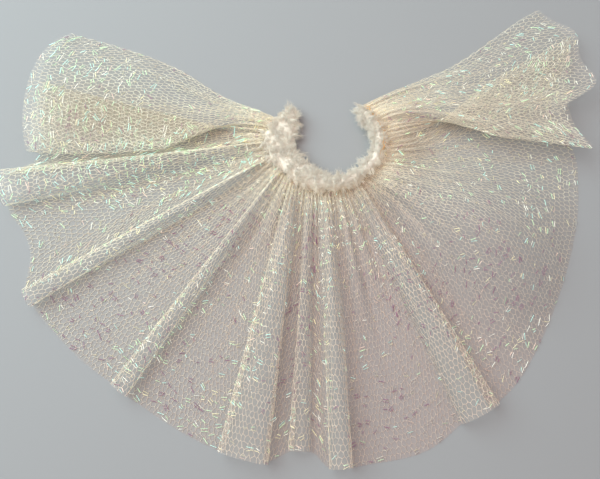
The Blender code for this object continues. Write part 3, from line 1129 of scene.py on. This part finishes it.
def makeFilm(cloth, tree):
    random = np.random.default_rng(film["seed"])
    starts = filmRows(random)
    centre, kept = cloth.place(starts[:, 0], starts[:, 1])
    shine, warm, purple = glintAt(centre)
    chance = random.uniform(0, 1, len(starts))
    least, more = film["shining"]
    shines = chance < least + more * shine
    least, more = film["dull"]
    there = kept & (shines | (random.uniform(0, 1, len(starts)) < least + more * purple))
    starts = np.column_stack([starts, shines, warm, purple])[there]
    # the threads lie in pairs, some with one of the two missing
    both = np.repeat(starts, 2, axis=0)
    side = np.where(np.arange(len(both)) % 2 == 0, -0.5, 0.5) * film["pair gap"]
    side = side * random.uniform(*film["gaps"], len(both))
    kept = np.where(both[:, 3] > 0, film["bright kept"], film["dull kept"])
    shown = random.uniform(0, 1, len(both)) < kept
    both = both[shown]
    side = side[shown]
    both[:, 2] += np.radians(random.normal(0, film["pair scatter"], len(both)))
    begins, over = film["shorter from"]
    shorter = 1 - film["shorter by"] * smoothStep((both[:, 0] / hemLength - begins) / over)
    long = film["length"] * random.uniform(*film["lengths"], len(both)) * shorter / 2
    least, more = film["dull lengths"]
    long = long * np.where(both[:, 3] > 0, 1, least + more * both[:, 5])
    slant = both[:, 2]
    along = both[:, 0] - side * np.sin(slant)
    drop = both[:, 1] + side * np.cos(slant)
    ends = []
    for sign in (-1, 1):
        lower = np.maximum(drop + sign * long * np.sin(slant), 0.2)
        ends.append(cloth.place(along + sign * long * np.cos(slant), lower))
    (first, firstKept), (last, lastKept) = ends
    size = np.linalg.norm(first - last, axis=1)
    good = firstKept & lastKept & (size > film["shortest"]) & (size < film["length"] * film["longest share"])
    first = first[good]
    last = last[good]
    both = both[good]
    for points in (first, last):
        points[:, 2] += film["lift"] + random.uniform(0, film["lift scatter"], len(points))
    colours, glow, size = filmTints(random, both[:, 3:4], both[:, 4:5], both[:, 5:6])
    points = np.stack([first, last], axis=1).reshape(-1, 3)
    edges = np.arange(len(points)).reshape(-1, 2)
    mesh = wireMesh("film_threads", toWorld(points), edges, np.repeat(size, 2))
    addColours(mesh, "tint", np.repeat(colours, 2, axis=0))
    addColours(mesh, "glow", np.repeat(glow, 2, axis=0))
    thing = newObject("film_threads", mesh)
    spin(thing, tree, film["thread"], 3, filmMaterial())
    print("film threads:", len(edges), "faces:", len(thing.data.polygons))
    return thing


def bandRing(angle):
    # radius and height round one section of the band's core, which lies inside the pile
    inner, outer, high = bandAt(angle)
    inner = inner + pile["inset"]
    outer = outer - pile["inset"]
    high = high - pile["inset"]
    turn = 2 * math.pi * (np.arange(pile["sides"]) + 0.5) / pile["sides"]
    c = np.cos(turn)
    s = np.sin(turn)
    across = np.sign(c) * np.abs(c) ** (2 / pile["squareness"])
    up = np.sign(s) * np.abs(s) ** (2 / pile["squareness"])
    radius = (inner + outer) / 2 + across * (outer - inner) / 2
    return radius, pile["lowest"] + (high - pile["lowest"]) * (0.5 + up / 2)


def makeBand():
    random = np.random.default_rng(pile["seed"])
    inset = pile["end inset"]
    angles = np.linspace(band[0][0] + inset, band[-1][0] - inset, pile["sections"])
    rings = []
    for index, angle in enumerate(angles):
        radius, height = bandRing(angle)
        fromEnd = min(index, len(angles) - 1 - index) / pile["rounded sections"]
        size = math.sqrt(max(pile["end size"], 1 - max(0, 1 - fromEnd) ** 2))
        middle = radius.mean()
        radius = middle + (radius - middle) * size
        height = height.mean() + (height - height.mean()) * size
        swell = 1 + 0.06 * math.sin(angle * 0.23) + 0.05 * math.sin(angle * 0.71 + 2)
        radius = middle + (radius - middle) * swell + random.normal(0, pile["bumps"], len(radius))
        height = np.maximum(height + random.normal(0, pile["bumps"], len(height)), pile["lowest"])
        turn = math.radians(angle)
        rings.append(np.column_stack([radius * math.cos(turn), radius * math.sin(turn), height]))
    points = np.vstack(rings)
    sides = pile["sides"]
    faces = []
    for ring in range(len(rings) - 1):
        for side in range(sides):
            a = ring * sides + side
            b = ring * sides + (side + 1) % sides
            faces.append((a, b, b + sides, a + sides))
    faces.append(tuple(range(sides))[::-1])
    faces.append(tuple(range((len(rings) - 1) * sides, len(rings) * sides)))
    mesh = bpy.data.meshes.new("pile_band")
    mesh.from_pydata([tuple(p) for p in toWorld(points)], [], faces)
    mesh.shade_smooth()
    mesh.materials.append(pileMaterial())
    addFloats(mesh, "warmth", bandTanAndShade(points))
    addFloats(mesh, "shade", np.full(len(points), pile["core shade"]))
    return newObject("pile_band", mesh)


def bandTanAndShade(points):
    # painted shade in tan under the waistband's outer edge, where the net is sewn on, deepest low down
    radius, angle = polar(points)
    inner, outer, high = bandAt(angle)
    start, over = pile["tan across"]
    across = smoothStep(((radius - inner) / (outer - inner) - start) / over)
    start, over = pile["tan height"]
    low = 1 - smoothStep((points[:, 2] / high - start) / over)
    tan = lookUp(root, angle, 1) * pile["tan share"] * across
    return np.clip(tan * (pile["tan above"] + (1 - pile["tan above"]) * low), 0, 1)


def makeHairs(bandPiece, tree):
    # tufts of curved hairs all over the band, apart from its underside
    random = np.random.default_rng(pile["seed"] + 1)
    mesh = bandPiece.data
    mesh.calc_loop_triangles()
    corners = np.array([[mesh.vertices[v].co[:] for v in t.vertices] for t in mesh.loop_triangles])
    cross = np.cross(corners[:, 1] - corners[:, 0], corners[:, 2] - corners[:, 0])
    area = np.linalg.norm(cross, axis=1)
    normal = cross / np.maximum(area[:, None], 1e-12)
    centre = corners.mean(axis=1)
    angle = polar(fromWorld(centre))[1]
    turn = np.radians(angle)
    inner, outer, high = bandAt(angle)
    ring = (inner + outer) / 2
    coreHeight = np.full(len(ring), pile["core height"])
    core = toWorld(np.column_stack([ring * np.cos(turn), ring * np.sin(turn), coreHeight]))
    inward = ((centre - core) * normal).sum(axis=1) < 0
    normal[inward] = -normal[inward]
    weight = area * (normal[:, 2] > pile["overhang"])
    tufts = random.choice(len(area), pile["tufts"], p=weight / weight.sum())
    a = random.uniform(0, 1, (pile["tufts"], 2))
    flip = a.sum(axis=1) > 1
    a[flip] = 1 - a[flip]
    start = corners[tufts, 0] + a[:, :1] * (corners[tufts, 1] - corners[tufts, 0])
    start = start + a[:, 1:] * (corners[tufts, 2] - corners[tufts, 0])
    tilt = math.tan(math.radians(pile["tilt"]))
    direction = normal[tufts] + random.normal(0, tilt * pile["tilt share"], (pile["tufts"], 3))
    curl = random.normal(0, pile["curl"], (pile["tufts"], 3))
    long = pile["hair length"] * random.uniform(*pile["tuft lengths"], (pile["tufts"], 1))
    # the hairs of a tuft stand apart at their roots and curl together
    count = pile["tufts"] * pile["hairs"]
    apart = random.normal(0, pile["spread"] * mm, (count, 3))
    tuft = (start, direction, curl, long)
    start, direction, curl, long = (np.repeat(part, pile["hairs"], axis=0) for part in tuft)
    start = start + apart
    direction = direction + random.normal(0, pile["parting"], (count, 3))
    direction[:, 2] = np.maximum(direction[:, 2], pile["droop"])
    direction = direction / np.linalg.norm(direction, axis=1, keepdims=True)
    curl = curl + random.normal(0, pile["hair curl"], (count, 3))
    long = long * random.uniform(*pile["hair lengths"], (count, 1)) * mm
    middleBend, tipBend = pile["bend"]
    middleDrawn, tipDrawn = pile["drawn together"]
    middle = start + direction * long * 0.5 + curl * long * middleBend - apart * middleDrawn
    tip = start + direction * long + curl * long * tipBend - apart * tipDrawn
    for knots in (start, middle, tip):
        knots[:, 2] = np.maximum(knots[:, 2], pile["hair lowest"] * mm)
    points = np.stack([start, middle, tip], axis=1).reshape(-1, 3)
    first = np.arange(count) * 3
    edges = np.vstack([np.column_stack([first, first + 1]), np.column_stack([first + 1, first + 2])])
    hairs = wireMesh("pile_hairs", points, edges, np.tile(pile["hair taper"], count))
    thing = newObject("pile_hairs", hairs)
    addFloats(thing.data, "warmth", bandTanAndShade(fromWorld(points)))
    shade = np.repeat(random.uniform(0, pile["tuft shade"], count), 3) + np.tile(pile["hair shade"], count)
    addFloats(thing.data, "shade", shade)
    spin(thing, tree, pile["hair width"], 3, mesh.materials[0])
    print("hairs:", count, "faces:", len(thing.data.polygons))
    return thing


def makeStitches(tree):
    random = np.random.default_rng(stitches["seed"])
    angle = np.arange(stitches["from"], stitches["to"], stitches["step"])
    inner, outer, high = bandAt(angle)
    turn = np.radians(angle)
    sideways, upwards = stitches["wander"]
    window = np.ones(stitches["smoothing"]) / stitches["smoothing"]
    points = []
    edges = []
    for inset, drop in stitches["threads"]:
        wander = np.convolve(random.normal(0, 1, len(angle) + len(window) - 1), window, mode="valid")
        radius = outer - inset + wander * sideways
        height = high - drop + upwards * wander
        first = len(points)
        points.extend(np.column_stack([radius * np.cos(turn), radius * np.sin(turn), height]).tolist())
        edges.extend((i, i + 1) for i in range(first, len(points) - 1))
    mesh = wireMesh("stitch_threads", toWorld(points), edges)
    material, shader = newMaterial("tan sewing thread", 0.6)
    shader.inputs["Base Color"].default_value = (*stitches["colour"], 1)
    return spin(newObject("stitch_threads", mesh), tree, stitches["thickness"], 6, material)


def main():
    makeCamera()
    makeRoom()
    print("camera, floor and lights made")
    threads = strandTree()
    cloth = Cloth()
    print("hem", round(hemLength, 1), "drop", round(float(np.median(cloth.total)), 1))
    veilPiece = makeVeil()
    netPieces = makeNet(cloth, threads)
    filmPiece = makeFilm(cloth, threads)
    bandPiece = makeBand()
    hairs = makeHairs(bandPiece, threads)
    sewing = makeStitches(threads)
    for piece in (veilPiece, *netPieces, filmPiece):
        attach(piece, "root")
        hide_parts("net_panel")
    for piece in (bandPiece, hairs, sewing):
        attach(piece, "root")
        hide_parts("waistband")


main()
